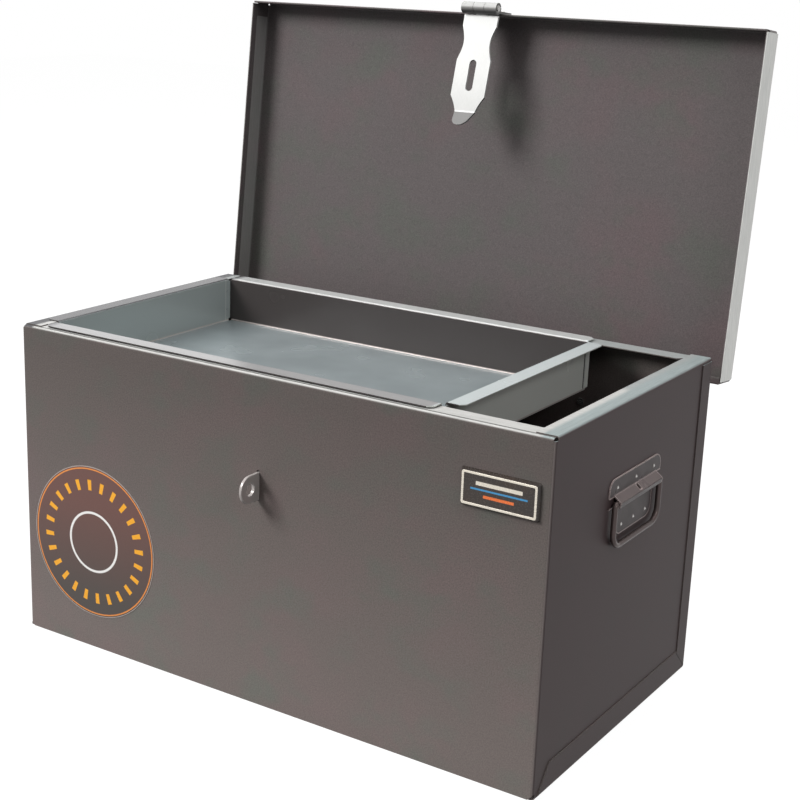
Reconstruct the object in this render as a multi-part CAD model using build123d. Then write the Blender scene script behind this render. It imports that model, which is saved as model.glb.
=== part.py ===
from build123d import *
from math import cos, radians, sin, sqrt, tan
import os

# Job site box, millimetres, +Z up.
# Origin: middle of the underside of the box. -Y is the front, +X the right-hand end.
# It is modelled as photographed: lid open on its stops, tray at the left, bails hanging.

# Box
box_width = 600.0
box_depth = 330.0
box_height = 328.0
sheet = 1.0
bend = 1.5
rim = 22.0
lap = 26.0
rear_lap = 23.0
mitre_gap = 0.6
corner_chamfer = 5.0
lap_front_setback = 8.0
lap_front_rise = 25.0
inner_foot = 20.0

# Lid, closed sizes
lid_overhang_side = 4.5
lid_overhang_front = 5.0
lid_overhang_back = 6.0
skirt_height = 31.0
hem_height = 8.0
lid_clearance = 0.7
lid_open_angle = 96.0

# Butt hinges of the lid
hinge_inset = 110.0
hinge_width = 75.0
hinge_sheet = 1.5
hinge_pin_radius = 2.0
hinge_running = 0.05
hinge_drop = 5.0
hinge_leaf_up = 22.0
hinge_leaf_down = 46.0
knuckle_gap = 0.4
hinge_rivet_radius = 2.0
hinge_rivet_head = 3.6
hinge_rivet_pitch = 26.0
hinge_rivet_edge = 10.0
hinge_rivet_rise = 13.0
hinge_rivet_height = 1.4
hinge_crank_start = 14.0
hinge_crank_end = 6.0
hinge_crank_bend = 2.4
hinge_pin_head = 1.2

# Lid stops
stop_inset = 210.0
stop_width = 24.0
stop_gap = 0.3
stop_sheet = 2.0
stop_rise = 24.0
stop_crank_start = 7.0
stop_crank_end = 2.0
stop_out = 6.0
stop_bend = 3.0

# Hasp
hasp_width = 41.0
hasp_sheet = 2.5
hasp_pin_radius = 3.5
hasp_running = 0.06
hasp_middle_knuckle = 13.4
hasp_axis_out = 4.6
hasp_axis_below = 9.3
hasp_leaf_height = 22.0
hasp_corner = 3.0
hasp_rivet_edge = 8.0
hasp_rivet_rise = 14.0
hasp_rivet_height = 1.2
hasp_seam = 0.6
hasp_rest_tilt = 15.0
strap_half_width = 20.0
strap_waist_half = 15.5
strap_bend_half = 11.8
strap_shoulder_gap = 0.3
strap_shoulder_1 = 18.0
strap_waist = 35.0
strap_shoulder_2 = 53.5
strap_shoulder_3 = 91.0
strap_lip_start = 107.3
strap_hollow = 0.9
strap_lip = 15.4
strap_lip_side = 7.0
strap_lip_narrow = 2.1
strap_lip_angle = 36.0
strap_lip_bend = 3.0
slot_start = 53.0
slot_end = 85.5
slot_width = 8.2

# Staple
staple_thickness = 3.0
staple_radius = 13.5
staple_reach = 27.0
staple_hole_radius = 6.0
staple_foot = 14.0
staple_slot_gap = 1.6

# Badge and label
badge_width = 75.4
badge_height = 34.0
badge_inset = 48.5
badge_drop = 57.8
badge_corner = 2.0
badge_thick = 3.4
badge_bevel = 28.0
badge_line = 2.2
badge_line_rise = 0.6
badge_line_margin = 0.3
label_diameter = 160.0
label_inset = 93.0
label_height = 115.4
label_thick = 0.4

# Tray
tray_sheet = 1.0
tray_bend = 1.2
tray_end_gap = 2.0
tray_side_gap = 1.0
tray_length = 456.0
tray_depth = 50.3
tray_flange = 17.0
tray_seat_gap = 0.3
tray_relief = 4.5
tray_tab = 11.0
tray_flange_taper = 5.0
weld_radius = 1.3
weld_inset = 14.5
foot_length = 14.0
foot_width = 10.0

# Drop handles on the ends, heights measured from the axis of the bail
handle_drop = 90.1
handle_plate_half = 54.5
handle_plate_rise = 22.9
handle_plate_fall = 32.9
handle_lower_half = 38.0
handle_sheet = 1.2
handle_corner = 10.5
channel_standoff = 4.2
channel_roof_slope = 38.0
channel_front_slope = 15.0
channel_bend = 1.2
channel_end_gap = 0.5
bail_wire_radius = 2.7
bail_running = 0.07
bail_half = 48.0
bail_drop = 40.7
bail_corner = 14.0
bail_end_gap = 6.0
handle_slot_width = 4.0
handle_slot_edge = 1.3
handle_rivet_head = 1.6
handle_rivet_height = 0.8
handle_rivet_radius = 1.1
handle_rivet_upper = 38.8
handle_rivet_lower = 25.6
handle_rivet_rise = 13.3
handle_rivet_fall = 24.8

# Places worked out from the sizes above
half_x = box_width / 2
half_y = box_depth / 2
end_face = half_x - sheet
low_rim_top = box_height - sheet
outer_bend = bend + sheet
tray_top = box_height + tray_seat_gap + tray_sheet
lid_top = tray_top + lid_clearance + sheet
skirt_foot = lid_top - skirt_height
lid_half_x = half_x + lid_overhang_side
lid_front = -half_y - lid_overhang_front
lid_back = half_y + lid_overhang_back
hinge_radius = hinge_pin_radius + hinge_sheet
hinge_y = lid_back + hinge_radius
hinge_z = skirt_foot - hinge_drop
hasp_radius = hasp_pin_radius + hasp_sheet
hasp_y = lid_front - hasp_axis_out
hasp_z = skirt_foot - hasp_axis_below
strap_mid = hasp_radius - hasp_sheet / 2
strap_start = hasp_radius + strap_shoulder_gap
staple_height = hasp_z - (slot_start + slot_end) / 2
hinge_x = half_x - hinge_inset
stop_x = half_x - stop_inset
tray_left = -half_x + rim + tray_end_gap
tray_right = tray_left + tray_length
tray_half_y = half_y - rim - tray_side_gap
tray_floor_height = tray_top - tray_depth
handle_z = box_height - handle_drop
handle_plate_top = handle_z + handle_plate_rise
handle_plate_bottom = handle_z - handle_plate_fall
channel_mid = bail_wire_radius + bail_running + handle_sheet / 2
channel_half = bail_half - bail_wire_radius - channel_end_gap

hinge_axis = Axis((0, hinge_y, hinge_z), (1, 0, 0))


def opened(shape):
    """Turn a shape of the closed lid to the photographed open pose."""
    return shape.rotate(hinge_axis, -lid_open_angle)


def block(x0, x1, y0, y1, z0, z1):
    """Box between two corners, given in any order."""
    middle = Pos((x0 + x1) / 2, (y0 + y1) / 2, (z0 + z1) / 2)
    return middle * Box(abs(x1 - x0), abs(y1 - y0), abs(z1 - z0))


def rod(radius, x0, x1, y, z):
    """Round bar along X."""
    return Pos((x0 + x1) / 2, y, z) * Rot(0, 90, 0) * Cylinder(radius, abs(x1 - x0))


def strip_across_x(points, thickness, radius, x0, x1):
    """Folded strip: its middle line is drawn in Y and Z, with bends, and runs along X."""
    line = FilletPolyline(*points, radius=radius + thickness / 2)
    face = trace(line, thickness)
    return Pos(x0, 0, 0) * extrude(Plane.YZ * face, x1 - x0)


def strip_across_y(points, thickness, radius, y0, y1):
    """Folded strip: its middle line is drawn in X and Z, with bends, and runs along Y."""
    line = FilletPolyline(*points, radius=radius + thickness / 2)
    face = trace(line, thickness)
    return Pos(0, y1, 0) * extrude(Plane.XZ * face, y1 - y0)


def strip_upright(points, thickness, radius, z0, z1):
    """Folded strip: its middle line is drawn in X and Y, with bends, and stands along Z."""
    line = FilletPolyline(*points, radius=radius + thickness / 2)
    face = trace(line, thickness)
    return Pos(0, 0, z0) * extrude(Plane.XY * face, z1 - z0)


def rivet(radius, head_radius, grip, head_height):
    """Rivet along Z with its shank from 0 to -grip, a bevelled head above and a flat tail below."""
    profile = [
        (0, head_height),
        (head_radius - head_height, head_height),
        (head_radius, head_height * 0.3),
        (head_radius, 0),
        (radius, 0),
        (radius, -grip),
        (head_radius, -grip),
        (head_radius, -grip - head_height),
        (0, -grip - head_height),
    ]
    return revolve(Plane.XZ * make_face(Polyline(*profile, close=True)), Axis.Z)


def write(shape, name):
    export_step(shape, "parts/" + name + ".step")


# Box shell
def handle_rivet_places():
    upper = [(n * handle_rivet_upper, handle_z + handle_rivet_rise) for n in (-1, 0, 1)]
    lower = [(n * handle_rivet_lower, handle_z - handle_rivet_fall) for n in (-1, 0, 1)]
    return upper + lower


def front_end_wrap():
    mid = sheet / 2
    back = half_y - outer_bend
    rim_fold = low_rim_top - outer_bend
    plan = [
        (-end_face + mid, back),
        (-end_face + mid, -half_y + mid),
        (end_face - mid, -half_y + mid),
        (end_face - mid, back),
    ]
    walls = strip_upright(plan, sheet, bend, outer_bend, rim_fold)
    inner_x = end_face - outer_bend
    front_rim = strip_across_x(
        [
            (-half_y + mid, rim_fold - sheet),
            (-half_y + mid, low_rim_top - mid),
            (-half_y + rim, low_rim_top - mid),
        ],
        sheet,
        bend,
        -inner_x,
        inner_x,
    )
    shape = walls + front_rim
    for side in (-1, 1):
        side_rim = strip_across_y(
            [
                (side * (end_face - mid), rim_fold),
                (side * (end_face - mid), box_height - mid),
                (side * (half_x - rim), box_height - mid),
            ],
            sheet,
            bend,
            -half_y + corner_chamfer,
            half_y - sheet,
        )
        shape += side_rim
    # the front wall reaches down over the bottom sheet, with its corners cut off
    shape += block(-inner_x, inner_x, -half_y, -half_y + sheet, 0, outer_bend + sheet)
    for side in (-1, 1):
        corner = Rot(0, 45, 0) * Box(corner_chamfer * sqrt(2), 8, corner_chamfer * sqrt(2))
        shape -= Pos(side * end_face, -half_y, 0) * corner
    shape -= block(
        -staple_thickness / 2 - 0.1,
        staple_thickness / 2 + 0.1,
        -half_y - 1,
        -half_y + sheet + 1,
        staple_height - staple_radius,
        staple_height + staple_radius + staple_slot_gap,
    )
    for side in (-1, 1):
        for y, z in handle_rivet_places():
            shape -= rod(handle_rivet_radius, side * end_face - 3, side * end_face + 3, y, z)
    return shape


def back_bottom_sheet():
    outer = block(-half_x, half_x, -half_y, half_y, 0, box_height)
    inner = block(-end_face, end_face, -half_y - 5, half_y - sheet, sheet, box_height + 5)
    lower = outer.edges().group_by(Axis.Z)[0].filter_by(Axis.Y)
    rear = outer.edges().group_by(Axis.Y)[-1].filter_by(Axis.Z)
    foot = outer.edges().group_by(Axis.Y)[-1].group_by(Axis.Z)[0]
    outer = fillet(lower + rear + foot, outer_bend)
    lower = inner.edges().group_by(Axis.Z)[0].filter_by(Axis.Y)
    rear = inner.edges().group_by(Axis.Y)[-1].filter_by(Axis.Z)
    foot = inner.edges().group_by(Axis.Y)[-1].group_by(Axis.Z)[0]
    inner = fillet(lower + rear + foot, bend)
    shape = outer - inner
    low_edge = low_rim_top - outer_bend
    # the bottom stops behind the front wall, the laps stop at their seams
    shape -= block(-half_x - 1, half_x + 1, -half_y - 1, -half_y + sheet, -1, box_height + 1)
    for side in (-1, 1):
        inside = side * (end_face - 0.01)
        outside = side * (half_x + 1)
        shape -= block(inside, outside, -half_y - 1, half_y - rear_lap, lap, box_height + 1)
        mitre = Rot(45, 0, 0) * Box(sheet + 0.02, mitre_gap, lap * 3)
        mitre = Pos(side * (half_x - sheet / 2), half_y - lap / 2 - 2.5, lap / 2 + 2.5) * mitre
        shape -= mitre & block(-half_x - 1, half_x + 1, half_y - lap - 1, half_y - 4, 4, lap + 1)
        relief = rod(1.6, side * half_x - 2, side * half_x + 2, half_y - 3.4, 3.4)
        shape -= relief
        nose = [
            (-half_y - 1, -1),
            (-half_y + lap_front_setback, -1),
            (-half_y + lap_front_setback, sheet),
            (-half_y + lap_front_setback + lap_front_rise * 0.8, lap + 1),
            (-half_y - 1, lap + 1),
        ]
        wedge = extrude(Plane.YZ * make_face(Polyline(*nose, close=True)), sheet + 2)
        wedge = Pos(half_x - sheet, 0, 0) * wedge
        shape -= wedge if side == 1 else mirror(wedge, Plane.YZ)
    # the back wall ends in its own rim, one sheet lower than the end rims
    shape -= block(-half_x - 1, half_x + 1, half_y - rear_lap, half_y + 1, low_edge, box_height + 1)
    mid = sheet / 2
    inner_x = end_face - outer_bend
    back_rim = strip_across_x(
        [
            (half_y - mid, low_edge - sheet),
            (half_y - mid, low_rim_top - mid),
            (half_y - rim, low_rim_top - mid),
        ],
        sheet,
        bend,
        -inner_x,
        inner_x,
    )
    for side in (-1, 1):
        notch = Pos(side * (half_x - rim - 1), half_y - rim, low_rim_top) * Rot(0, 0, 45) * Box(8, 8, 6)
        back_rim -= notch
    shape += back_rim
    # foot folded up behind the front wall
    shape += strip_across_x(
        [
            (-half_y + 4 * outer_bend, mid),
            (-half_y + sheet + mid, mid),
            (-half_y + sheet + mid, inner_foot),
        ],
        sheet,
        bend,
        -end_face + 4,
        end_face - 4,
    )
    for side in (-1, 1):
        for n in (-1, 0, 1):
            x = side * hinge_x + n * hinge_rivet_pitch
            hole = Pos(x, half_y, hinge_rivet_z()) * Rot(90, 0, 0) * Cylinder(hinge_rivet_radius, 10)
            shape -= hole
    return shape


# Front hardware
def staple():
    low = staple_height - staple_radius
    high = staple_height + staple_radius
    eye_y = -half_y - staple_reach + staple_radius
    half = staple_thickness / 2
    plate = block(-half, half, eye_y, -half_y + sheet, low, high)
    plate += rod(staple_radius, -half, half, eye_y, staple_height)
    edge = plate.edges().filter_by(GeomType.CIRCLE)
    plate = fillet(edge, 0.7)
    # foot turned against the inside of the front wall
    plate += block(-half, staple_foot, -half_y + sheet, -half_y + sheet + staple_thickness, low, high)
    plate -= rod(staple_hole_radius, -9, 9, eye_y, staple_height)
    return plate


def badge_place(out):
    return Pos(half_x - badge_inset, -half_y - out, box_height - badge_drop) * Rot(90, 0, 0)


def badge_field():
    """Body of the name plate: flat, with rounded corners and bevelled sides."""
    outline = RectangleRounded(badge_width, badge_height, badge_corner)
    return badge_place(0) * extrude(outline, badge_thick, taper=badge_bevel)


def badge_frame():
    """Raised line round the face of the name plate."""
    inset = 2 * (badge_thick * tan(radians(badge_bevel)) + badge_line_margin)
    wide = badge_width - inset
    high = badge_height - inset
    outline = RectangleRounded(wide, high, badge_corner)
    outline -= RectangleRounded(wide - 2 * badge_line, high - 2 * badge_line, badge_corner / 2)
    frame = extrude(outline, badge_line_rise)
    frame = chamfer(frame.faces().sort_by(Axis.Z)[-1].edges(), badge_line_rise / 2)
    return badge_place(badge_thick) * frame


def round_label():
    disc = Rot(90, 0, 0) * Cylinder(label_diameter / 2, label_thick)
    return Pos(-half_x + label_inset, -half_y - label_thick / 2, label_height) * disc


# Drop handles, made on the right-hand end and mirrored to the left
def handle_section():
    """Section of the pressed plate: flat, out over the bail wire in flat facets, flat again.

    Each facet touches the circle of the channel, so the wire turns freely inside.
    """
    flat = handle_sheet / 2
    r = channel_mid
    roof = radians(90 - channel_roof_slope)
    front = radians(-channel_front_slope)
    half = (roof - front) / 2
    middle = (roof + front) / 2
    crease_z = handle_z + (r + (channel_standoff - flat) * cos(roof)) / sin(roof)
    ridge_x = channel_standoff + r * cos(middle) / cos(half)
    ridge_z = handle_z + r * sin(middle) / cos(half)
    keel_x = channel_standoff + r * (1 + sin(front)) / cos(front)
    line = FilletPolyline(
        (flat, handle_plate_top),
        (flat, crease_z),
        (ridge_x, ridge_z),
        (keel_x, handle_z - r),
        (flat, handle_z - r),
        (flat, handle_plate_bottom),
        radius=channel_bend,
    )
    return trace(line, handle_sheet)


def handle_plate():
    r = channel_mid + handle_sheet / 2
    face = end_face + handle_sheet
    far = end_face + channel_standoff + 4 * r
    section = extrude(Plane.XZ * handle_section(), 2 * handle_plate_half)
    plate = Pos(end_face, handle_plate_half, 0) * section
    # outline seen from the end: wide above the channel, narrow below it
    low = handle_z - r
    wide = block(end_face - 1, far, -handle_plate_half, handle_plate_half, low, handle_plate_top)
    wide = fillet(wide.edges().filter_by(Axis.X).group_by(Axis.Z)[-1], handle_corner)
    narrow = block(end_face - 1, far, -handle_lower_half, handle_lower_half, handle_plate_bottom, handle_z)
    narrow = fillet(narrow.edges().filter_by(Axis.X).group_by(Axis.Z)[0], handle_corner)
    plate = plate & (wide + narrow)
    # the channel ends just inside the two legs of the bail, so that they swing past it
    for side in (-1, 1):
        beyond = side * 2 * handle_plate_half
        plate -= block(face, far, side * channel_half, beyond, handle_z - 2 * r, handle_z + 3 * r)
    # small slot down the roof, over the gap between the ends of the bail
    slot = handle_slot_width / 2
    inner = face + handle_slot_edge / 2
    plate -= block(inner, ridge_reach(), -slot, slot, handle_z + r / 3, handle_z + 3 * r)
    for y, z in handle_rivet_places():
        plate -= rod(handle_rivet_radius, end_face - 3, end_face + 5, y, z)
    return plate


def ridge_reach():
    """How far out the slot reaches: a little short of the ridge of the channel."""
    half = radians(90 - channel_roof_slope + channel_front_slope) / 2
    middle = radians(90 - channel_roof_slope - channel_front_slope) / 2
    return end_face + channel_standoff + channel_mid * cos(middle) / cos(half) - handle_slot_edge


def handle_rivets():
    grip = handle_sheet + sheet
    one = Rot(0, 90, 0) * rivet(handle_rivet_radius, handle_rivet_head, grip, handle_rivet_height)
    return [Pos(end_face + handle_sheet, y, z) * one for y, z in handle_rivet_places()]


def bail():
    """Bent wire, drawn flat with Y across and Z up, its two ends turned in toward each other."""
    low = handle_z - bail_drop
    points = [
        (-bail_end_gap, handle_z),
        (-bail_half, handle_z),
        (-bail_half, low),
        (bail_half, low),
        (bail_half, handle_z),
        (bail_end_gap, handle_z),
    ]
    path = Wire(Polyline(*points))
    corners = [v for v in path.vertices() if v.Y < handle_z - 1]
    path = path.fillet_2d(bail_corner, corners)
    ends = [v for v in path.vertices() if v.Y > handle_z - 0.1 and abs(abs(v.X) - bail_half) < 0.1]
    path = path.fillet_2d(bail_wire_radius + 0.8, ends)
    start = Plane(origin=path @ 0, z_dir=path % 0)
    wire = sweep(start * Circle(bail_wire_radius), path=path)
    return Pos(end_face + channel_standoff, 0, 0) * (Plane.YZ * wire)


# Hinges
def hinge_rivet_z():
    return hinge_z - hinge_leaf_down + hinge_rivet_edge


def hinge_leaf_rivets_up_z():
    return skirt_foot + hinge_rivet_rise


def box_hinge_leaf(middle_x):
    """Cranked leaf on the back wall, rolled over the pin, with the two outer knuckles."""
    flat = half_y + hinge_sheet / 2
    tangent = hinge_y - hinge_radius + hinge_sheet / 2
    line = FilletPolyline(
        (flat, hinge_z - hinge_leaf_down),
        (flat, hinge_z - hinge_crank_start),
        (tangent, hinge_z - hinge_crank_end),
        (tangent, hinge_z),
        radius=hinge_crank_bend,
    )
    line += CenterArc((hinge_y, hinge_z), hinge_pin_radius + hinge_sheet / 2, 180, -285)
    leaf = Pos(-hinge_width / 2, 0, 0) * extrude(Plane.YZ * trace(line, hinge_sheet), hinge_width)
    third = hinge_width / 6
    clear = hinge_radius + knuckle_gap
    wide = 3 * hinge_radius
    leaf -= block(-third, third, hinge_y - wide, hinge_y + wide, hinge_z - clear, hinge_z + wide)
    leaf -= rod(hinge_pin_radius, -hinge_width, hinge_width, hinge_y, hinge_z)
    for n in (-1, 0, 1):
        hole = Rot(90, 0, 0) * Cylinder(hinge_rivet_radius, 20)
        leaf -= Pos(n * hinge_rivet_pitch, half_y, hinge_rivet_z()) * hole
    return Pos(middle_x, 0, 0) * leaf


def lid_hinge_leaf(middle_x):
    """Flat leaf on the rear skirt, rolled under the pin, with the middle knuckle."""
    tangent = lid_back + hinge_sheet / 2
    line = Line((tangent, hinge_z + hinge_drop + hinge_leaf_up), (tangent, hinge_z))
    line += CenterArc((hinge_y, hinge_z), hinge_pin_radius + hinge_sheet / 2, 180, 285)
    leaf = Pos(-hinge_width / 2, 0, 0) * extrude(Plane.YZ * trace(line, hinge_sheet), hinge_width)
    third = hinge_width / 6 - knuckle_gap
    clear = hinge_radius + knuckle_gap
    wide = 3 * hinge_radius
    for side in (-1, 1):
        end = side * hinge_width
        leaf -= block(side * third, end, hinge_y - wide, hinge_y + wide, hinge_z - wide, hinge_z + clear)
    leaf -= rod(hinge_pin_radius + hinge_running, -hinge_width, hinge_width, hinge_y, hinge_z)
    for n in (-1, 0, 1):
        hole = Rot(90, 0, 0) * Cylinder(hinge_rivet_radius, 20)
        leaf -= Pos(n * hinge_rivet_pitch, lid_back, hinge_leaf_rivets_up_z()) * hole
    return opened(Pos(middle_x, 0, 0) * leaf)


def hinge_pin(middle_x):
    half = hinge_width / 2
    pin = rod(hinge_pin_radius, -half, half, 0, 0)
    for side in (-1, 1):
        head = rod(hinge_radius - knuckle_gap, side * half, side * (half + hinge_pin_head), 0, 0)
        face = head.faces().sort_by(Axis.X)[-1 if side == 1 else 0]
        pin += chamfer(face.edges(), hinge_pin_head / 2)
    return Pos(middle_x, hinge_y, hinge_z) * pin


def hinge_rivets(surface, z, grip):
    one = Rot(-90, 0, 0) * rivet(hinge_rivet_radius, hinge_rivet_head, grip, hinge_rivet_height)
    places = []
    for side in (-1, 1):
        for n in (-1, 0, 1):
            places.append((side * hinge_x + n * hinge_rivet_pitch, surface, z))
    return [Pos(*place) * one for place in places]


# Lid, modelled closed and then opened
def hemmed(line, edges, inward):
    """Section of a sheet line whose free edges are folded back flat."""
    section = trace(line, sheet)
    for x in edges:
        middle = x + inward(x) * sheet
        bead = Pos(middle, skirt_foot + hem_height / 2) * Rectangle(2 * sheet, hem_height)
        section += fillet(bead.vertices().group_by(Axis.Y)[0], sheet * 0.9)
    return section


def lid_shell():
    mid = sheet / 2
    top = lid_top - mid
    radius = bend + mid
    foot = skirt_foot + 2
    front = lid_front + mid
    back = lid_back - mid
    line = FilletPolyline((front, foot), (front, top), (back, top), (back, skirt_foot), radius=radius)
    section = hemmed(line, [lid_front], lambda x: 1)
    inner = lid_half_x - outer_bend
    shape = Pos(-inner, 0, 0) * extrude(Plane.YZ * section, 2 * inner)
    side = lid_half_x - mid
    line = FilletPolyline((-side, foot), (-side, top), (side, top), (side, foot), radius=radius)
    section = hemmed(line, [-lid_half_x, lid_half_x], lambda x: -1 if x > 0 else 1)
    y0 = lid_front + outer_bend
    y1 = lid_back - outer_bend
    shape += Pos(0, y1, 0) * extrude(Plane.XZ * section, y1 - y0)
    # tabs of the front and rear skirts, welded inside the end skirts
    tab_foot = skirt_foot + hem_height + 0.5
    tab_top = lid_top - outer_bend - 0.5
    for sx in (-1, 1):
        for skirt, sy in ((lid_front, 1), (lid_back, -1)):
            plan = [
                (sx * (inner - 1), skirt + sy * mid),
                (sx * (lid_half_x - sheet - mid), skirt + sy * mid),
                (sx * (lid_half_x - sheet - mid), skirt + sy * 16),
            ]
            shape += strip_upright(plan, sheet, 1.0, tab_foot, tab_top)
    for side_x in (-1, 1):
        for n in (-1, 0, 1):
            x = side_x * hinge_x + n * hinge_rivet_pitch
            hole = Rot(90, 0, 0) * Cylinder(hinge_rivet_radius, 10)
            shape -= Pos(x, lid_back, hinge_leaf_rivets_up_z()) * hole
        hole = Rot(90, 0, 0) * Cylinder(hinge_rivet_radius, 10)
        shape -= Pos(side_x * hasp_rivet_x(), lid_front, hasp_rivet_z()) * hole
    return opened(shape)


def lid_stop(middle_x):
    """Cranked heel under the rear skirt: its tip meets the back wall when the lid is open."""
    out = hinge_y + stop_out
    reach = hinge_y - half_y - stop_gap
    angle = radians(lid_open_angle)
    tip = (reach + cos(angle) * (out + stop_sheet / 2 - hinge_y)) / sin(angle)
    line = FilletPolyline(
        (lid_back + stop_sheet / 2, skirt_foot + stop_rise),
        (lid_back + stop_sheet / 2, skirt_foot + stop_crank_start),
        (out, skirt_foot - stop_crank_end),
        (out, hinge_z - tip),
        radius=stop_bend,
    )
    heel = Pos(-stop_width / 2, 0, 0) * extrude(Plane.YZ * trace(line, stop_sheet), stop_width)
    return opened(Pos(middle_x, 0, 0) * heel)


# Hasp
def hasp_rivet_x():
    return hasp_width / 2 - hasp_rivet_edge


def hasp_rivet_z():
    return skirt_foot + hasp_rivet_rise


def hasp_leaf():
    """Leaf on the front skirt with the two outer knuckles, modelled closed and then opened."""
    flat = lid_front - hasp_sheet / 2
    top = skirt_foot + hasp_leaf_height
    foot = hasp_z + sqrt(strap_mid**2 - (flat - hasp_y) ** 2)
    section = Pos(flat, (top + foot) / 2) * Rectangle(hasp_sheet, top - foot)
    section += Pos(hasp_y, hasp_z) * Circle(hasp_radius)
    section -= Pos(hasp_y, hasp_z) * Circle(hasp_pin_radius)
    # the seam where the rolled end comes back to the leaf
    seam = Pos(hasp_y, hasp_z) * Rot(0, 0, 108) * Pos(strap_mid, 0) * Rectangle(2 * hasp_sheet, hasp_seam)
    section -= seam
    leaf = Pos(-hasp_width / 2, 0, 0) * extrude(Plane.YZ * section, hasp_width)
    corners = leaf.edges().filter_by(Axis.Y).group_by(Axis.Z)[-1]
    leaf = fillet(corners, hasp_corner)
    half = hasp_middle_knuckle / 2
    clear = hasp_radius + knuckle_gap
    wide = 2 * hasp_radius
    leaf -= block(-half, half, hasp_y - wide, hasp_y + wide, hasp_z - wide, hasp_z + clear)
    for side in (-1, 1):
        hole = Rot(90, 0, 0) * Cylinder(hinge_rivet_radius, 20)
        leaf -= Pos(side * hasp_rivet_x(), lid_front, hasp_rivet_z()) * hole
    return opened(leaf)


def hasp_pin():
    half = hasp_width / 2
    pin = rod(hasp_pin_radius, -half, half, 0, 0)
    for side in (-1, 1):
        pin += rod(hasp_pin_radius - 0.8, side * half, side * (half + 0.8), 0, 0)
    return opened(Pos(0, hasp_y, hasp_z) * pin)


def hasp_rivets():
    one = Rot(90, 0, 0) * rivet(hinge_rivet_radius, hinge_rivet_head, hasp_sheet + sheet, hasp_rivet_height)
    y = lid_front - hasp_sheet
    return [opened(Pos(side * hasp_rivet_x(), y, hasp_rivet_z()) * one) for side in (-1, 1)]


def strap_outline():
    knuckle = hasp_middle_knuckle / 2 - knuckle_gap
    right = Polyline(
        (0, 2 * hasp_radius),
        (knuckle, 2 * hasp_radius),
        (knuckle, -strap_start),
        (strap_half_width, -strap_start),
        (strap_half_width, -strap_shoulder_1),
    )
    right += Spline(
        (strap_half_width, -strap_shoulder_1),
        (strap_waist_half, -strap_waist),
        (strap_half_width, -strap_shoulder_2),
        tangents=[(-0.4, -1), (0.4, -1)],
    )
    right += Line((strap_half_width, -strap_shoulder_2), (strap_half_width, -strap_shoulder_3))
    right += ThreePointArc(
        (strap_half_width, -strap_shoulder_3),
        (
            (strap_half_width + strap_bend_half) / 2 - strap_hollow,
            -(strap_shoulder_3 + strap_lip_start) / 2,
        ),
        (strap_bend_half, -strap_lip_start),
    )
    side = strap_bend_half - strap_lip_narrow
    tip = strap_lip_start + strap_lip
    right += Line((strap_bend_half, -strap_lip_start), (side, -strap_lip_start - strap_lip_side))
    right += ThreePointArc(
        (side, -strap_lip_start - strap_lip_side),
        (side * 0.71, -tip + (strap_lip - strap_lip_side) * 0.34),
        (0, -tip),
    )
    left = mirror(right, Plane.YZ)
    return make_face(right + left)


def hasp_strap():
    """Strap hanging from the hasp pin: rolled knuckle, flat with a waist and a slot, bent lip.

    The knuckle is rolled to the front, so the flat hangs from the rear of the pin.
    """
    lean = radians(strap_lip_angle)
    lip = strap_lip * 1.5
    line = CenterArc((0, 0), strap_mid, 0, 300)
    line += FilletPolyline(
        (strap_mid, 0),
        (strap_mid, -strap_lip_start),
        (strap_mid - lip * sin(lean), -strap_lip_start - lip * cos(lean)),
        radius=strap_lip_bend,
    )
    wide = 2 * strap_half_width
    strap = Pos(-strap_half_width, 0, 0) * extrude(Plane.YZ * trace(line, hasp_sheet), wide)
    reach = 2 * strap_half_width
    outline = Pos(0, reach, 0) * extrude(Plane.XZ * strap_outline(), 2 * reach)
    strap = strap & outline
    slot = Rot(0, 0, 90) * SlotOverall(slot_end - slot_start, slot_width)
    slot = Plane.XZ * Pos(0, -(slot_start + slot_end) / 2) * slot
    strap -= Pos(0, reach / 2, 0) * extrude(slot, reach)
    strap -= rod(hasp_pin_radius + hasp_running, -hasp_width, hasp_width, 0, 0)
    pivot = opened(Pos(0, hasp_y, hasp_z) * Sphere(1)).center()
    return Pos(0, pivot.Y, pivot.Z) * Rot(-hasp_rest_tilt, 0, 0) * strap


# Tray
def tray():
    mid = tray_sheet / 2
    outer = tray_bend + tray_sheet
    top = tray_top - mid
    floor = tray_floor_height + mid
    wall = tray_half_y - mid
    edge = tray_half_y + tray_flange
    line = [(-edge, top), (-wall, top), (-wall, floor), (wall, floor), (wall, top), (edge, top)]
    shape = strip_across_x(line, tray_sheet, tray_bend, tray_left + outer, tray_right - outer)
    for end in (0, -1):
        corners = shape.edges().filter_by(Axis.Z).group_by(Axis.Y)[end]
        shape = chamfer(corners, tray_flange_taper)
    left = tray_left + mid
    right = tray_right - mid
    line = [
        (tray_left - tray_flange, top),
        (left, top),
        (left, floor),
        (right, floor),
        (right, top),
        (tray_right + tray_flange, top),
    ]
    half = tray_half_y - tray_relief
    ends = strip_across_y(line, tray_sheet, tray_bend, -half, half)
    for end in (0, -1):
        corners = ends.edges().filter_by(Axis.Z).group_by(Axis.X)[end]
        ends = chamfer(corners, tray_flange_taper)
    shape += ends
    # tabs of the long walls, bent round the corners and welded behind the end walls
    for x, sx in ((tray_left, -1), (tray_right, 1)):
        for sy in (-1, 1):
            plan = [
                (x - sx * outer, sy * wall),
                (x + sx * mid, sy * wall),
                (x + sx * mid, sy * (tray_half_y - tray_tab)),
            ]
            shape += strip_upright(plan, tray_sheet, 0.8, tray_floor_height + 3.5, tray_top - 3.0)
    return shape


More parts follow.
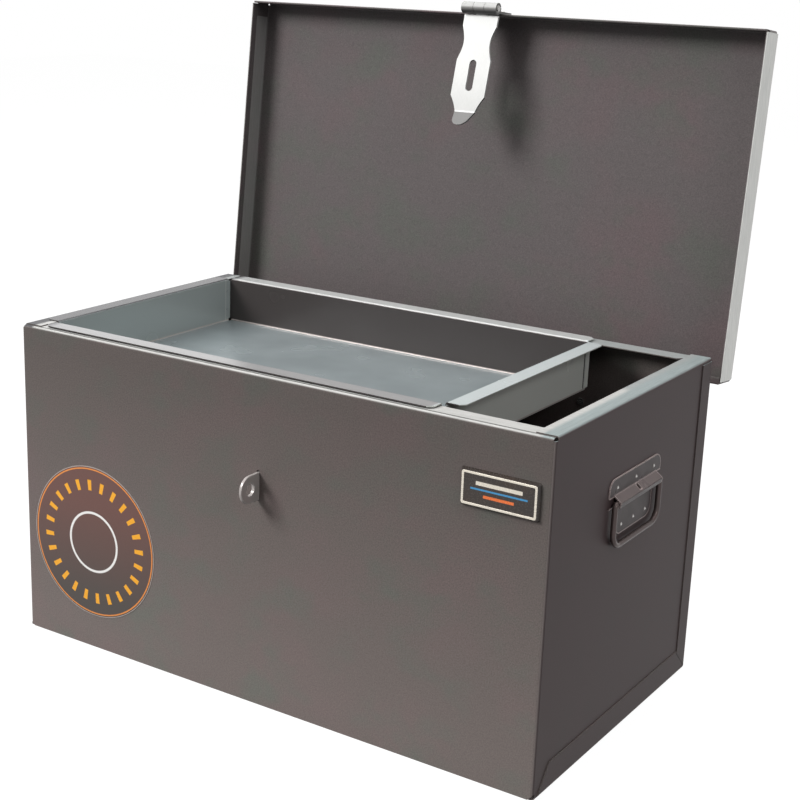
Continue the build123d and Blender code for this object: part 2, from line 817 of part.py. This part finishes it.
def tray_welds():
    dots = []
    for x, sx in ((tray_left + tray_sheet, 1), (tray_right - tray_sheet, -1)):
        for sy in (-1, 1):
            for z in (tray_floor_height + weld_inset, tray_top - weld_inset):
                y = sy * (tray_half_y - tray_relief - 2.5)
                dots.append(rod(weld_radius, x, x + sx * 0.3, y, z))
    return dots


def tray_feet():
    feet = []
    under = tray_top - tray_sheet
    for x in (tray_left + 12, tray_right - 12 - foot_length):
        for sy in (-1, 1):
            y0 = sy * (tray_half_y + tray_flange - 3)
            y1 = y0 - sy * foot_width
            feet.append(block(x, x + foot_length, y0, y1, low_rim_top + tray_seat_gap, under))
    return feet


if __name__ == "__main__":
    os.makedirs("parts", exist_ok=True)
    write(front_end_wrap(), "front_end_wrap")
    write(back_bottom_sheet(), "back_bottom_sheet")
    write(staple(), "hasp_staple")
    write(badge_frame(), "badge_frame")
    write(badge_field(), "badge_field")
    write(round_label(), "round_label")
    right_plate = handle_plate()
    write(right_plate, "handle_plate_right")
    write(mirror(right_plate, Plane.YZ), "handle_plate_left")
    right_rivets = handle_rivets()
    write(Compound(right_rivets), "handle_rivets_right")
    write(Compound([mirror(r, Plane.YZ) for r in right_rivets]), "handle_rivets_left")
    right_bail = bail()
    write(right_bail, "bail_right")
    write(mirror(right_bail, Plane.YZ), "bail_left")
    for name, x in (("left", -hinge_x), ("right", hinge_x)):
        write(box_hinge_leaf(x), "hinge_leaf_box_" + name)
        write(lid_hinge_leaf(x), "hinge_leaf_lid_" + name)
        write(hinge_pin(x), "hinge_pin_" + name)
    grip = hinge_sheet + sheet
    write(Compound(hinge_rivets(half_y + hinge_sheet, hinge_rivet_z(), grip)), "hinge_rivets_box")
    lid_side = hinge_rivets(lid_back + hinge_sheet, hinge_leaf_rivets_up_z(), grip)
    write(Compound([opened(r) for r in lid_side]), "hinge_rivets_lid")
    write(lid_shell(), "lid_shell")
    write(Compound([lid_stop(-stop_x), lid_stop(stop_x)]), "lid_stops")
    write(hasp_leaf(), "hasp_leaf")
    write(hasp_pin(), "hasp_pin")
    write(Compound(hasp_rivets()), "hasp_rivets")
    write(hasp_strap(), "hasp_strap")
    write(tray(), "tray")
    write(Compound(tray_welds()), "tray_welds")
    write(Compound(tray_feet()), "tray_feet")
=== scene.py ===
import math

import bpy
from mathutils import Matrix, Vector


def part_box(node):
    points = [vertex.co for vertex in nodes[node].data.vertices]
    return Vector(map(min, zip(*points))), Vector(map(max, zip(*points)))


# Looks of the job site box. Metres, +Z up, front towards -Y, the CAD frame's origin.
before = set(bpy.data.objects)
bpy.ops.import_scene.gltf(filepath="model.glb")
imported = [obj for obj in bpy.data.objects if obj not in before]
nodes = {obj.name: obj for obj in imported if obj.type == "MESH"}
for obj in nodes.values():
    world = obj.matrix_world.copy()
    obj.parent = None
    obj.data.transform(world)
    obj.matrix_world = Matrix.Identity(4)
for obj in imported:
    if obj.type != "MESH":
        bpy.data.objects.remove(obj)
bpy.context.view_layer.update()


# Materials
PAINT_SPECULAR = 0.12        # dull paint mirrors little
WALL_LEAN = (0.5, 0.8)       # lean along an axis from which a face counts as a wall facing it
TOP_LEAN = (0.45, 0.8)       # the same for faces that look up
NOISE_SPAN = (0.3, 0.7)      # the part of a noise's range that holds nearly all of it
CLOUD_SPAN = (0.35, 0.65)    # narrower, for clouds with clearer borders
SHORT_STREAK = 0.05          # how far streaks on rims and flanges are drawn out, smaller is longer


def srgb(r, g, b):
    """Colour given as 0 to 255 on screen, turned into the linear values a shader takes."""
    def linear(v):
        v /= 255
        return v / 12.92 if v <= 0.04045 else ((v + 0.055) / 1.055) ** 2.4
    return (linear(r), linear(g), linear(b), 1.0)


class Shader:
    """A material with its nodes, built by short calls."""

    def __init__(self, name, **sockets):
        self.material = bpy.data.materials.new(name)
        self.material.use_nodes = True
        self.tree = self.material.node_tree
        self.surface = self.tree.nodes["Principled BSDF"]
        for key, value in sockets.items():
            self.surface.inputs[key.replace("_", " ")].default_value = value

    def plug(self, node, socket, value):
        if isinstance(value, bpy.types.NodeSocket):
            self.tree.links.new(value, node.inputs[socket])
        else:
            node.inputs[socket].default_value = value

    def node(self, kind, inputs=None, **settings):
        made = self.tree.nodes.new("ShaderNode" + kind)
        for key, value in settings.items():
            setattr(made, key, value)
        for key, value in (inputs or {}).items():
            self.plug(made, key, value)
        return made

    def math(self, operation, first, second=0.0):
        return self.node("Math", {0: first, 1: second}, operation=operation).outputs[0]

    def both(self, first, second):
        """Where both masks hold; a number as the second weakens the first."""
        return self.math("MULTIPLY", first, second)

    def spread(self, value, low, high, to_low=0.0, to_high=1.0):
        inputs = {"Value": value, "From Min": low, "From Max": high,
                  "To Min": to_low, "To Max": to_high}
        return self.node("MapRange", inputs).outputs[0]

    def band(self, value, low, high, soft=0.0003):
        """1 where value is between low and high, 0 elsewhere."""
        rise = self.spread(value, low - soft, low + soft)
        fall = self.spread(value, high + soft, high - soft)
        return self.both(rise, fall)

    def at(self, axis, centre=(0, 0, 0)):
        """Place along one axis, measured from centre."""
        where = self.node("TexCoord").outputs["Object"]
        offset = self.node("VectorMath", {0: where, 1: centre}, operation="SUBTRACT").outputs[0]
        return self.node("SeparateXYZ", {"Vector": offset}).outputs[axis]

    def lean(self, axis):
        """How far the surface faces along an axis, -1 to 1."""
        normal = self.node("TexCoord").outputs["Normal"]
        return self.node("SeparateXYZ", {"Vector": normal}).outputs[axis]

    def facing(self, axis, low=0.6, high=0.9):
        """1 where the lean along axis is past high, 0 where it is short of low."""
        return self.spread(self.lean(axis), low, high)

    def edges(self, width):
        """1 on the outer edges of the form, 0 on its faces."""
        on_a_face, on_an_edge = 0.995, 0.92
        rounded = self.node("Bevel", {"Radius": width}, samples=6).outputs[0]
        plain = self.node("NewGeometry").outputs["Normal"]
        turned = self.node("VectorMath", {0: rounded, 1: plain}, operation="DOT_PRODUCT")
        return self.spread(turned.outputs["Value"], on_a_face, on_an_edge)

    def noise(self, size, scale=(1, 1, 1), detail=3.0, rough=0.55):
        """Noise whose spots are about size metres across, drawn out where scale is under 1."""
        where = self.node("TexCoord").outputs["Object"]
        placed = self.node("Mapping", {"Vector": where, "Scale": scale}).outputs[0]
        inputs = {"Vector": placed, "Scale": 1 / size, "Detail": detail, "Roughness": rough}
        return self.node("TexNoise", inputs).outputs["Fac"]

    def mix(self, factor, first, second, blend="MIX"):
        in_factor, in_first, in_second, out_colour = 0, 6, 7, 2  # a Mix node's colour sockets
        inputs = {in_factor: factor, in_first: first, in_second: second}
        made = self.node("Mix", inputs, data_type="RGBA", blend_type=blend)
        return made.outputs[out_colour]

    def shaded(self, colour, factor):
        """Colour times a number."""
        return self.mix(1.0, colour, factor, "MULTIPLY")

    def set(self, socket, value):
        self.plug(self.surface, socket, value)

    def bump(self, height, distance, strength=1.0):
        inputs = {"Height": height, "Distance": distance, "Strength": strength}
        self.set("Normal", self.node("Bump", inputs).outputs["Normal"])


def fine_paint(shade, colour, warm, cool, patch=0.07):
    """Paint colour with tiny grain and faint warm and cool patches, and the grain itself."""
    grain_size, grain_dark, grain_light = 0.0013, 0.80, 1.20
    grain = shade.noise(grain_size, detail=2.0, rough=0.7)
    warmth = shade.spread(shade.noise(patch, detail=2.0), 0.48, 0.68)
    coolth = shade.spread(shade.noise(patch * 0.7, scale=(1, 1, 1.3), detail=3.0), 0.5, 0.72)
    base = shade.mix(coolth, shade.mix(warmth, colour, warm), cool)
    return shade.shaded(base, shade.spread(grain, *NOISE_SPAN, grain_dark, grain_light)), grain


def streaked(shade, light, dark, along, length=0.12):
    """Rolled or brushed sheet: fine soft streaks drawn out along one direction."""
    streak_width = 0.0009
    stretch = {"X": (length, 1, 1), "Y": (1, length, 1), "Z": (1, 1, length)}[along]
    streaks = shade.noise(streak_width, scale=stretch, detail=2.0, rough=0.6)
    return shade.mix(shade.spread(streaks, *NOISE_SPAN), dark, light), streaks


def box_sheet():
    """Paint with painted light: lighter towards the foot, darker inside and on the right end, a
    lighter bend at the front right corner, rims at the top painted bright and a painted shadow line
    on the front rim.
    """
    shade = Shader("box_sheet", Metallic=0.0, Specular_IOR_Level=PAINT_SPECULAR)
    x, y, z = (shade.at(axis) for axis in "XYZ")
    low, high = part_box("front_end_wrap")
    front, top = low[1], high[2]

    paint, grain = fine_paint(shade, srgb(107, 99, 96), srgb(110, 99, 97), srgb(102, 101, 96))
    # Painted light: the paint is lighter towards the foot and darker towards the top, standing in
    # for light from the floor.
    painted_foot_light, painted_top_shade = 1.30, 0.74
    paint = shade.shaded(paint, shade.spread(z, 0.02, 0.31, painted_foot_light, painted_top_shade))
    # Painted shade: the right end is painted darker, as if less light fell on it.
    right_end_painted_shade = shade.both(shade.facing("X", *WALL_LEAN), 0.85)
    paint = shade.mix(right_end_painted_shade, paint, srgb(67, 53, 55))
    # Painted light: the bend at the front right corner is painted lighter, standing in for light it
    # lacks.
    corner_painted_light = shade.both(shade.band(shade.lean("X"), 0.35, 0.85, 0.12), 0.6)
    paint = shade.mix(corner_painted_light, paint, srgb(150, 140, 138))

    # Painted shade: the inside of the box is painted darker.
    inner_half_width, inner_half_depth, inner_floor, rim_fold = 0.2985, 0.1635, 0.0015, 0.003
    inside = shade.both(
        shade.band(x, -inner_half_width, inner_half_width),
        shade.band(z, inner_floor, top - rim_fold))
    inside = shade.both(inside, shade.band(y, -inner_half_depth, inner_half_depth))
    paint = shade.mix(inside, paint, srgb(62, 57, 56))

    # Painted light: the rims at the top are painted bright, lightest at the front, bluish on the
    # right, with the left end rim left dark.
    rim = shade.both(shade.facing("Z", *TOP_LEAN), shade.spread(z, top - 0.006, top - rim_fold))
    front_rim, _ = streaked(shade, srgb(188, 187, 184), srgb(168, 168, 165), "X", SHORT_STREAK)
    right_rim, _ = streaked(shade, srgb(150, 159, 159), srgb(134, 143, 143), "Y", SHORT_STREAK)
    rear_rim, _ = streaked(shade, srgb(158, 161, 160), srgb(142, 146, 145), "X", SHORT_STREAK)
    along_x = shade.mix(shade.spread(y, 0, 0.01), front_rim, rear_rim)
    along_y = shade.mix(shade.spread(x, 0.01, 0), right_rim, srgb(74, 74, 76))
    end_rims = shade.spread(shade.math("ABSOLUTE", x), 0.283, 0.287)
    bright = shade.mix(end_rims, along_x, along_y)
    # Painted shadow: a dark line along the front rim, where a raised lip would cast shade.
    front_rim_painted_shadow = shade.both(shade.band(y, front + 0.0028, front + 0.0052), 0.8)
    bright = shade.mix(front_rim_painted_shadow, bright, srgb(70, 68, 67))

    shade.set("Base Color", shade.mix(rim, paint, bright))
    rough = shade.spread(grain, *NOISE_SPAN, 0.42, 0.52)
    rim_polish = 0.12
    shade.set("Roughness", shade.math("SUBTRACT", rough, shade.both(rim, rim_polish)))
    shade.bump(grain, 0.00003, 0.5)
    return shade.material


def lid_sheet():
    """Painted like the box, with a painted reflection making the folded side walls bright outside.
    """
    shade = Shader("lid_sheet", Specular_IOR_Level=PAINT_SPECULAR)
    paint, grain = fine_paint(shade, srgb(90, 84, 84), srgb(94, 83, 84), srgb(86, 86, 82), 0.09)
    # Painted reflection: the outer faces of the folded side walls are painted bright.
    bright, _ = streaked(shade, srgb(216, 216, 213), srgb(196, 197, 194), "Z", SHORT_STREAK)
    half_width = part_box("lid_shell")[1][0]
    aside = shade.math("ABSOLUTE", shade.at("X"))
    outside = shade.spread(aside, half_width - 0.0012, half_width - 0.0006)
    shade.set("Base Color", shade.mix(outside, paint, bright))
    shade.set("Metallic", shade.both(outside, 0.6))
    shade.set("Roughness", shade.spread(grain, *NOISE_SPAN, 0.36, 0.46))
    shade.bump(grain, 0.00002, 0.5)
    return shade.material


def tray_sheet():
    """Bare rolled sheet, bluish and smooth, with painted light: painted shade on faces that look to
    the front such as the wall at the back, lighter walls facing right, light lines at the floor's
    fold and a seam, and flanges painted lighter.
    """
    shade = Shader("tray_sheet", Metallic=0.25, Specular_IOR_Level=0.4)
    x, y, z = (shade.at(axis) for axis in "XYZ")
    low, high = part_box("tray")
    to_the_right = shade.facing("X", *WALL_LEAN)

    clouds = shade.noise(0.06, detail=2.0)
    body = shade.mix(shade.spread(clouds, *CLOUD_SPAN), srgb(134, 143, 145), srgb(141, 150, 152))
    # Painted shade: faces that look to the front, the wall at the back among them, are painted dark.
    back_wall_painted_shade = shade.facing("Y", -0.5, -0.8)
    body = shade.mix(back_wall_painted_shade, body, srgb(68, 63, 62))
    # Painted light: walls that face right are painted lighter.
    body = shade.mix(to_the_right, body, srgb(174, 182, 181))
    # Painted light: the outer face of the cross wall at the right end is painted near white.
    cross_wall_painted_light = shade.both(to_the_right, shade.spread(x, high[0] - 0.03, high[0] - 0.028))
    body = shade.mix(cross_wall_painted_light, body, srgb(243, 246, 240))
    # Painted highlight: a pinkish light line along the fold at the floor.
    floor_fold_painted_highlight = shade.both(shade.band(z, low[2] + 0.0016, low[2] + 0.0029), 0.8)
    body = shade.mix(floor_fold_painted_highlight, body, srgb(214, 202, 196))
    # Painted highlight: a light line on the right-facing wall near the back, along the seam of the
    # back wall's flange.
    seam_painted_highlight = shade.both(to_the_right, shade.band(y, high[1] - 0.0275, high[1] - 0.0262))
    body = shade.mix(seam_painted_highlight, body, srgb(205, 208, 206))

    # Painted light: the flanges are painted lighter, brightest at the rear, dark on the left and
    # light on the right.
    flanges = shade.both(
        shade.facing("Z", *TOP_LEAN), shade.spread(z, high[2] - 0.005, high[2] - 0.002))
    front, _ = streaked(shade, srgb(164, 163, 163), srgb(154, 154, 154), "X", SHORT_STREAK)
    rear, _ = streaked(shade, srgb(205, 206, 204), srgb(194, 196, 195), "X", SHORT_STREAK)
    on_the_left = shade.spread(x, low[0] + 0.03, low[0] + 0.02)
    on_the_right = shade.spread(x, high[0] - 0.022, high[0] - 0.02)
    flange_painted_light = shade.mix(shade.spread(y, -0.15, 0.15), front, rear)
    flange_painted_light = shade.mix(on_the_left, flange_painted_light, srgb(88, 87, 89))
    flange_painted_light = shade.mix(on_the_right, flange_painted_light, srgb(198, 205, 205))

    shade.set("Base Color", shade.mix(flanges, body, flange_painted_light))
    shade.set("Roughness", shade.spread(clouds, *NOISE_SPAN, 0.22, 0.28))
    return shade.material


def zinc_plate(name, along, light, dark, roughness, metallic=0.75, detail=None):
    """Zinc plate: pale, with faint clouds and fine rolling streaks, and painted shade on faces that
    look down.
    """
    shade = Shader(name, Metallic=metallic, Specular_IOR_Level=0.3)
    plate, streaks = streaked(shade, light, dark, along)
    clouds = shade.spread(shade.noise(0.03, detail=3.0), *NOISE_SPAN, 0.95, 1.03)
    # Painted shade: faces that look down are painted dark.
    under = shade.facing("Z", -0.05, -0.6)
    colour = shade.mix(under, shade.shaded(plate, clouds), srgb(96, 94, 92))
    shade.set("Base Color", detail(shade, colour) if detail else colour)
    shade.set("Roughness", shade.spread(streaks, *NOISE_SPAN, roughness - 0.04, roughness + 0.05))
    return shade.material


def hasp_painted_light(shade, colour):
    """Painted light on the hasp: the barrel painted dark below its top line and light along it, the
    strap painted darker downwards, and the lip painted grey below a painted highlight on its bend.
    """
    z = shade.at("Z")
    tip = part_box("hasp_strap")[0][2]
    axis = (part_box("hasp_pin")[0][2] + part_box("hasp_pin")[1][2]) / 2
    # Painted light: the strap is painted darker downwards and lighter towards the barrel.
    colour = shade.shaded(colour, shade.spread(z, tip, axis, 0.88, 1.2))
    # Painted shade: the lip is painted grey.
    lip = shade.spread(z, tip + 0.0128, tip + 0.0122)
    colour = shade.mix(lip, colour, srgb(114, 113, 112))
    # Painted highlight: a light line along the lip's bend.
    lip_bend_painted_highlight = shade.band(z, tip + 0.0124, tip + 0.0136)
    colour = shade.mix(lip_bend_painted_highlight, colour, srgb(216, 216, 214))
    # Painted light on the barrel: painted shade on faces that look down, a painted highlight on
    # faces that look up.
    barrel_painted_light = shade.mix(shade.facing("Z", 0.15, -0.5), srgb(128, 127, 125), srgb(52, 50, 49))
    barrel_painted_light = shade.mix(shade.facing("Z", 0.15, 0.5), barrel_painted_light, srgb(168, 168, 166))
    barrel = shade.band(z, axis - 0.0058, axis + 0.0066)
    return shade.mix(barrel, colour, barrel_painted_light)


def gloss_paint(name, colour, warm, cool, metallic, roughness, edge=None):
    """Smooth paint on pressed parts; edge is the colour of painted light on upper faces and of a
    painted highlight on outer edges.
    """
    shade = Shader(name, Metallic=metallic, Specular_IOR_Level=PAINT_SPECULAR)
    clouds = shade.noise(0.02, detail=2.0)
    paint = shade.mix(shade.spread(clouds, *CLOUD_SPAN), warm, shade.mix(0.5, colour, cool))
    if edge:
        # Painted light on faces that look up and a painted highlight on outer edges.
        tops_painted_light = shade.both(shade.facing("Z", 0.45, 1.0), 0.35)
        edges_painted_highlight = shade.both(shade.edges(0.0022), 0.9)
        paint = shade.mix(shade.math("MAXIMUM", tops_painted_light, edges_painted_highlight), paint, edge)
    shade.set("Base Color", paint)
    shade.set("Roughness", shade.spread(clouds, *NOISE_SPAN, roughness - 0.03, roughness + 0.05))
    return shade.material


def badge_ground():
    """Dark plate with three plain bars."""
    shade = Shader("badge_ground", Metallic=0.2, Specular_IOR_Level=0.5)
    low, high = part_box("badge_field")
    centre = (Vector(low) + Vector(high)) / 2
    x, z = shade.at("X", centre), shade.at("Z", centre)
    colour, grain = fine_paint(shade, srgb(50, 43, 39), srgb(56, 45, 38), srgb(46, 42, 40), 0.02)
    bar_edge = 0.00015
    bars = (  # height of the middle, thickness, half the length, colour
        (0.0055, 0.0034, 0.022, srgb(222, 214, 200)),
        (0.0003, 0.0016, 0.027, srgb(60, 140, 190)),
        (-0.0052, 0.0026, 0.0145, srgb(226, 112, 52)),
    )
    for height, thick, half, tint in bars:
        across = shade.band(z, height - thick / 2, height + thick / 2, bar_edge)
        along = shade.band(x, -half, half, bar_edge)
        colour = shade.mix(shade.both(across, along), colour, tint)
    shade.set("Base Color", colour)
    shade.set("Roughness", shade.spread(grain, *NOISE_SPAN, 0.22, 0.3))
    return shade.material


def label_print():
    """Round printed label: thin ring, warm ground that darkens downwards, plain rays."""
    shade = Shader("label_print", Metallic=0.0, Specular_IOR_Level=0.5)
    low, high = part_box("round_label")
    centre = (Vector(low) + Vector(high)) / 2
    x, z = shade.at("X", centre), shade.at("Z", centre)
    squares = [shade.math("MULTIPLY", v, v) for v in (x, z)]
    radius = shade.math("SQRT", shade.math("ADD", *squares))
    grain = shade.noise(0.0008, detail=2.0)
    colour = shade.mix(shade.spread(z, -0.06, 0.04), srgb(60, 52, 47), srgb(96, 60, 52))
    colour = shade.mix(shade.spread(radius, 0.0791, 0.0794), colour, srgb(170, 160, 154))
    outer_ring = shade.band(radius, 0.0768, 0.0781)
    colour = shade.mix(outer_ring, colour, srgb(232, 142, 62))
    ray_count = 24.0
    angle = shade.math("ARCTAN2", z, x)
    rays = shade.math("SINE", shade.math("MULTIPLY", angle, ray_count))
    ticks = shade.both(shade.band(radius, 0.055, 0.066), shade.spread(rays, 0.55, 0.65))
    colour = shade.mix(ticks, colour, srgb(245, 170, 30))
    inner_ring = shade.band(radius, 0.030, 0.0325)
    colour = shade.mix(inner_ring, colour, srgb(240, 238, 235))
    shade.set("Base Color", shade.shaded(colour, shade.spread(grain, *NOISE_SPAN, 0.94, 1.06)))
    shade.set("Roughness", shade.spread(grain, *NOISE_SPAN, 0.30, 0.38))
    return shade.material


box_paint = box_sheet()
lid_paint = lid_sheet()
tray_metal = tray_sheet()
handle_paint = gloss_paint(
    "handle_steel", srgb(57, 45, 45), srgb(61, 47, 48), srgb(55, 46, 46), 0.0, 0.30,
    srgb(225, 206, 203))
bail_metal = gloss_paint(
    "bail_wire", srgb(94, 82, 80), srgb(98, 84, 83), srgb(91, 83, 81), 0.3, 0.20)
# Painted light: the staple's colour is much lighter than its dark paint, standing in for light on
# its right face.
dark_steel = gloss_paint(
    "dark_steel", srgb(166, 158, 156), srgb(170, 159, 157), srgb(161, 158, 153), 0.1, 0.2,
    srgb(182, 178, 175))
badge_metal = zinc_plate("badge_metal", "X", srgb(222, 214, 200), srgb(205, 198, 186), 0.25)
zinc_up = zinc_plate("zinc", "Z", srgb(188, 188, 186), srgb(180, 180, 178), 0.48, 0.1)
hasp_zinc = zinc_plate(
    "hasp_zinc", "Z", srgb(188, 188, 186), srgb(182, 182, 180), 0.46, 0.1, hasp_painted_light)
fastener = zinc_plate("fastener", "X", srgb(186, 184, 181), srgb(168, 166, 164), 0.24)
finishes = {
    box_paint: ("front_end_wrap", "back_bottom_sheet"),
    lid_paint: ("lid_shell",),
    tray_metal: ("tray", "tray_welds", "tray_feet"),
    handle_paint: ("handle_plate_left", "handle_plate_right"),
    bail_metal: ("bail_left", "bail_right"),
    dark_steel: ("hasp_staple",),
    badge_metal: ("badge_frame",),
    badge_ground(): ("badge_field",),
    label_print(): ("round_label",),
    hasp_zinc: ("hasp_leaf", "hasp_strap"),
    zinc_up: ("lid_stops", "hinge_leaf_box_left", "hinge_leaf_box_right",
              "hinge_leaf_lid_left", "hinge_leaf_lid_right"),
    fastener: ("handle_rivets_left", "handle_rivets_right", "hinge_pin_left", "hinge_pin_right",
               "hinge_rivets_box", "hinge_rivets_lid", "hasp_pin", "hasp_rivets"),
}
for material, names in finishes.items():
    for name in names:
        mesh = nodes[name].data
        mesh.materials.clear()
        mesh.materials.append(material)


# Camera of the photograph, solved from the box's edges
camera_place = Vector((0.82709, -1.25584, 0.70520))
camera_turn = math.radians(33.7185)
camera_drop = math.radians(16.2728)
camera_roll = math.radians(1.6521)
focal_px = 1570.966
frame_px = 800
centre_u = 350
centre_v = 400

ahead = Vector((
    -math.sin(camera_turn) * math.cos(camera_drop),
    math.cos(camera_turn) * math.cos(camera_drop),
    -math.sin(camera_drop),
))
level = ahead.cross(Vector((0, 0, 1))).normalized()
upright = level.cross(ahead)
right = level * math.cos(camera_roll) + upright * math.sin(camera_roll)
up = upright * math.cos(camera_roll) - level * math.sin(camera_roll)
camera_data = bpy.data.cameras.new("camera")
camera = bpy.data.objects.new("camera", camera_data)
bpy.context.scene.collection.objects.link(camera)
bpy.context.scene.camera = camera
axes = Matrix((right, up, -ahead)).transposed().to_4x4()
camera.matrix_world = Matrix.Translation(camera_place) @ axes
sensor_mm = 36
camera_data.sensor_width = sensor_mm
camera_data.lens = focal_px / frame_px * sensor_mm
camera_data.shift_x = (frame_px / 2 - centre_u) / frame_px
camera_data.shift_y = (centre_v - frame_px / 2) / frame_px
camera_data.clip_start = 0.01


# Studio: a wide soft box overhead, a softer one at the front left, a weak one at the right
def lamp(name, place, target, size, power):
    data = bpy.data.lights.new(name, "AREA")
    data.shape = "RECTANGLE"
    data.size, data.size_y = size
    data.energy = power
    made = bpy.data.objects.new(name, data)
    bpy.context.scene.collection.objects.link(made)
    made.location = place
    made.rotation_euler = (Vector(target) - Vector(place)).to_track_quat("-Z", "Y").to_euler()
    made.visible_camera = False


lamp("overhead", (-0.1, 0.2, 2.5), (0, 0, 0.3), (2.4, 2.2), 42)
lamp("front_left", (-1.9, -2.3, 2.3), (0, 0, 0.25), (1.3, 1.3), 125)
lamp("right", (2.3, -0.9, 1.8), (0.2, 0, 0.3), (1.2, 1.2), 17)


def background(tree, scattered, white, seen):
    """Camera, glossy and transmission rays meet white; what lights the object stays as scattered."""
    rays = tree.nodes.new("ShaderNodeLightPath")
    factor = rays.outputs["Is Camera Ray"]
    for kind in ("Is Glossy Ray", "Is Transmission Ray"):
        widest = tree.nodes.new("ShaderNodeMath")
        widest.operation = "MAXIMUM"
        tree.links.new(factor, widest.inputs[0])
        tree.links.new(rays.outputs[kind], widest.inputs[1])
        factor = widest.outputs[0]
    chosen = tree.nodes.new("ShaderNodeMixShader")
    tree.links.new(factor, chosen.inputs[0])
    tree.links.new(scattered.outputs[0], chosen.inputs[1])
    tree.links.new(white.outputs[0], chosen.inputs[2])
    tree.links.new(chosen.outputs[0], seen)


world = bpy.data.worlds.new("world")
bpy.context.scene.world = world
world.use_nodes = True
sky = world.node_tree
soft = sky.nodes["Background"]
towards = sky.nodes.new("ShaderNodeSeparateXYZ")
sky.links.new(sky.nodes.new("ShaderNodeTexCoord").outputs["Generated"], towards.inputs[0])
fall = sky.nodes.new("ShaderNodeMapRange")  # light from the left, little from the right
for socket, value in (("From Min", -0.4), ("From Max", 0.5), ("To Min", 0.6), ("To Max", 0.06)):
    fall.inputs[socket].default_value = value
sky.links.new(towards.outputs["X"], fall.inputs["Value"])
soft.inputs["Color"].default_value = (1, 1, 1, 1)
sky.links.new(fall.outputs[0], soft.inputs["Strength"])
plain_white = sky.nodes.new("ShaderNodeBackground")
plain_white.inputs["Color"].default_value = (1, 1, 1, 1)
plain_white.inputs["Strength"].default_value = 1.0
background(sky, soft, plain_white, sky.nodes["World Output"].inputs["Surface"])

floor_half = 6.0
floor_mesh = bpy.data.meshes.new("floor")
corners = [(x * floor_half, y * floor_half, 0) for x, y in ((-1, -1), (1, -1), (1, 1), (-1, 1))]
floor_mesh.from_pydata(corners, [], [(0, 1, 2, 3)])
floor = bpy.data.objects.new("floor", floor_mesh)
bpy.context.scene.collection.objects.link(floor)
floor_shade = Shader("floor")
matt = floor_shade.node("BsdfDiffuse", {"Color": (0.12, 0.12, 0.12, 1)})
glow = floor_shade.node("Emission", {"Color": (1, 1, 1, 1), "Strength": 0.95})
pale = floor_shade.node("AddShader", {0: matt.outputs[0], 1: glow.outputs[0]})
background(floor_shade.tree, matt, pale, floor_shade.tree.nodes["Material Output"].inputs["Surface"])
floor_mesh.materials.append(floor_shade.material)

bpy.context.scene.view_settings.view_transform = "Standard"
